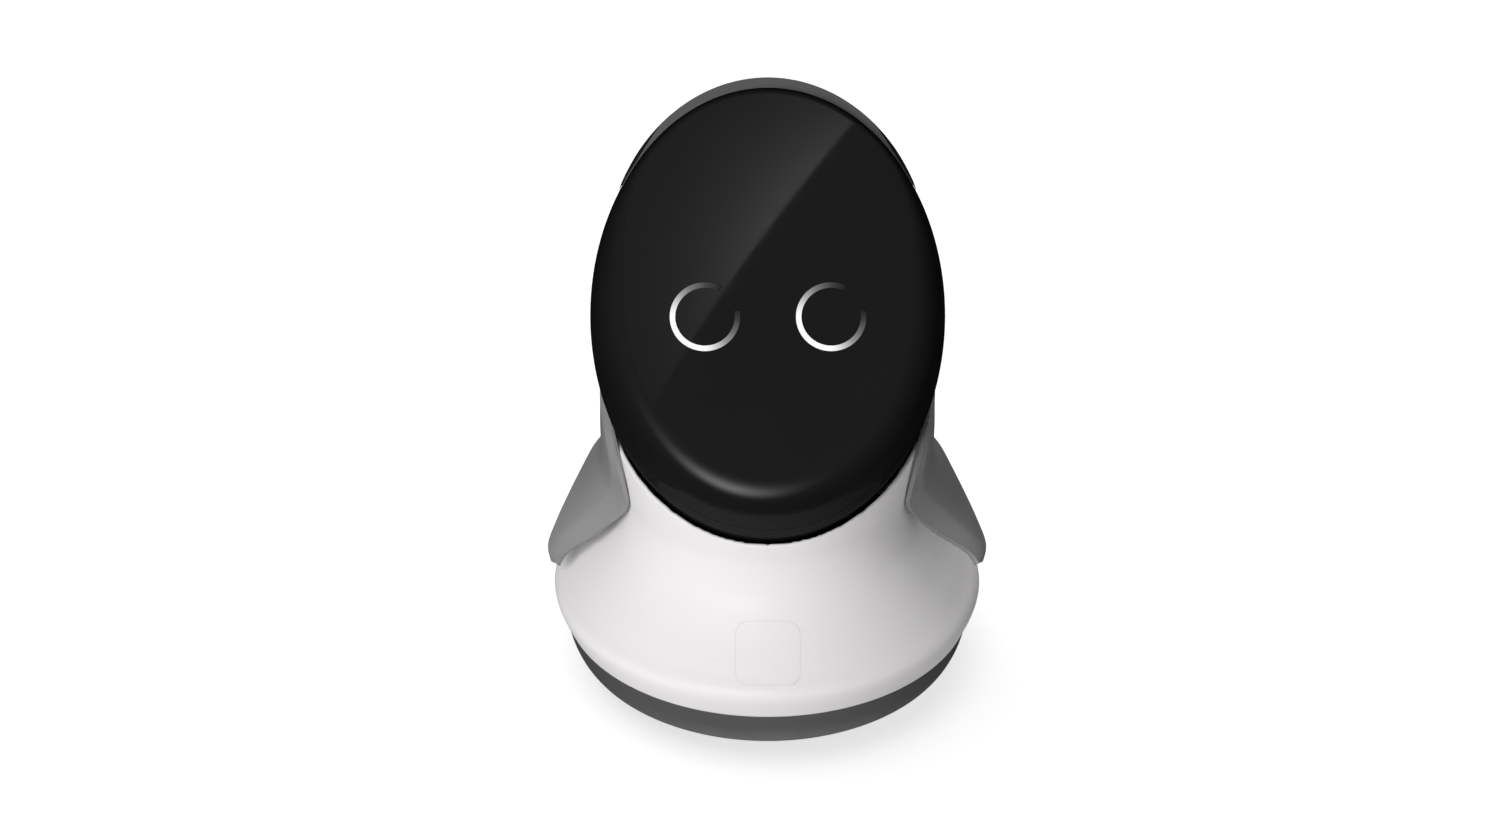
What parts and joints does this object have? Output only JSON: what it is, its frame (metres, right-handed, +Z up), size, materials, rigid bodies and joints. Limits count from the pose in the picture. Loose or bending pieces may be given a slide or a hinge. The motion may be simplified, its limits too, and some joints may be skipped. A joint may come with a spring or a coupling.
{
  "type": "home companion robot",
  "caption": "Two-wheel home robot: bell-shaped body with side fins on a round wheeled base, and a ball head with an oval face that nods.",
  "frame": {"origin": "centre of the round base, on the floor that the wheels stand on", "axes": "+Z up, the robot faces -Y, its own left side is at +X"},
  "size_m": [0.3082, 0.3, 0.4145],
  "materials": {
    "white_gloss": "high gloss moulded",
    "grey_satin": "satin moulded",
    "dark_satin": "satin moulded",
    "face_black": "polished, opaque black",
    "charcoal": "fine matte texture",
    "eye_light": "diffusing light guide",
    "tyre": "moulded rubber",
    "steel": "machined",
    "aluminium": "extruded",
    "board": "circuit board lacquer",
    "brass": "plated contact",
    "battery_wrap": "shrink wrap"
  },
  "bodies": {
    "body": {"base_bowl": "charcoal", "battery_door": "charcoal", "battery_pack": "battery_wrap", "button_switch": "charcoal", "caster_socket_front": "charcoal", "caster_socket_rear": "charcoal", "charge_contact_left": "brass", "charge_contact_right": "brass", "cliff_sensor_left": "face_black", "cliff_sensor_right": "face_black", "deck_plate": "charcoal", "deck_screw_1": "steel", "deck_screw_2": "steel", "deck_screw_3": "steel", "deck_screw_4": "steel", "drive_motor_left": "steel", "drive_motor_right": "steel", "fin_inner_left": "grey_satin", "fin_inner_right": "grey_satin", "fin_outer_left": "grey_satin", "fin_outer_right": "grey_satin", "front_hatch": "white_gloss", "gearbox_left": "steel", "gearbox_right": "steel", "main_board": "board", "motor_bracket_left": "aluminium", "motor_bracket_right": "aluminium", "motor_driver_board": "board", "neck_mast": "aluminium", "rear_shell": "grey_satin", "skirt_shell": "white_gloss", "speaker": "charcoal", "tilt_servo": "charcoal", "tilt_yoke": "aluminium"},
    "head": {"camera_module": "charcoal", "crown_trim": "dark_satin", "eye_led_board": "board", "eye_ring_left": "eye_light", "eye_ring_right": "eye_light", "face_glass": "face_black", "head_frame": "charcoal", "head_rear_shell": "face_black", "pivot_pin": "steel", "servo_horn": "steel"},
    "wheel_left": {"drive_tyre_left": "tyre", "drive_wheel_left": "charcoal", "wheel_shaft_left": "steel"},
    "wheel_right": {"drive_tyre_right": "tyre", "drive_wheel_right": "charcoal", "wheel_shaft_right": "steel"},
    "caster_front": {"caster_fork_front": "steel", "caster_axle_front": "steel"},
    "caster_front_roller": {"caster_wheel_front": "charcoal"},
    "caster_rear": {"caster_fork_rear": "steel", "caster_axle_rear": "steel"},
    "caster_rear_roller": {"caster_wheel_rear": "charcoal"},
    "button": {"power_button": "charcoal"}
  },
  "joints": [
    {"name": "head_nod", "type": "hinge", "parent": "body", "child": "head", "pos_m": [0, 0, 0.2697], "axis": [1, 0, 0], "range_deg": [-10, 18]},
    {"name": "wheel_left_spin", "type": "hinge", "parent": "body", "child": "wheel_left", "pos_m": [0.1, 0, 0.033], "axis": [1, 0, 0], "continuous": true},
    {"name": "wheel_right_spin", "type": "hinge", "parent": "body", "child": "wheel_right", "pos_m": [-0.1, 0, 0.033], "axis": [1, 0, 0], "continuous": true},
    {"name": "caster_front_swivel", "type": "hinge", "parent": "body", "child": "caster_front", "pos_m": [0, -0.098, 0.025], "axis": [0, 0, 1], "continuous": true},
    {"name": "caster_front_roll", "type": "hinge", "parent": "caster_front", "child": "caster_front_roller", "pos_m": [0, -0.092, 0.011], "axis": [1, 0, 0], "continuous": true},
    {"name": "caster_rear_swivel", "type": "hinge", "parent": "body", "child": "caster_rear", "pos_m": [0, 0.098, 0.025], "axis": [0, 0, 1], "continuous": true},
    {"name": "caster_rear_roll", "type": "hinge", "parent": "caster_rear", "child": "caster_rear_roller", "pos_m": [0, 0.104, 0.011], "axis": [1, 0, 0], "continuous": true},
    {"name": "power_press", "type": "slide", "parent": "body", "child": "button", "axis": [0, -1, 0], "range_m": [0, 0.0012], "stiffness_N_per_m": 900}
  ]
}
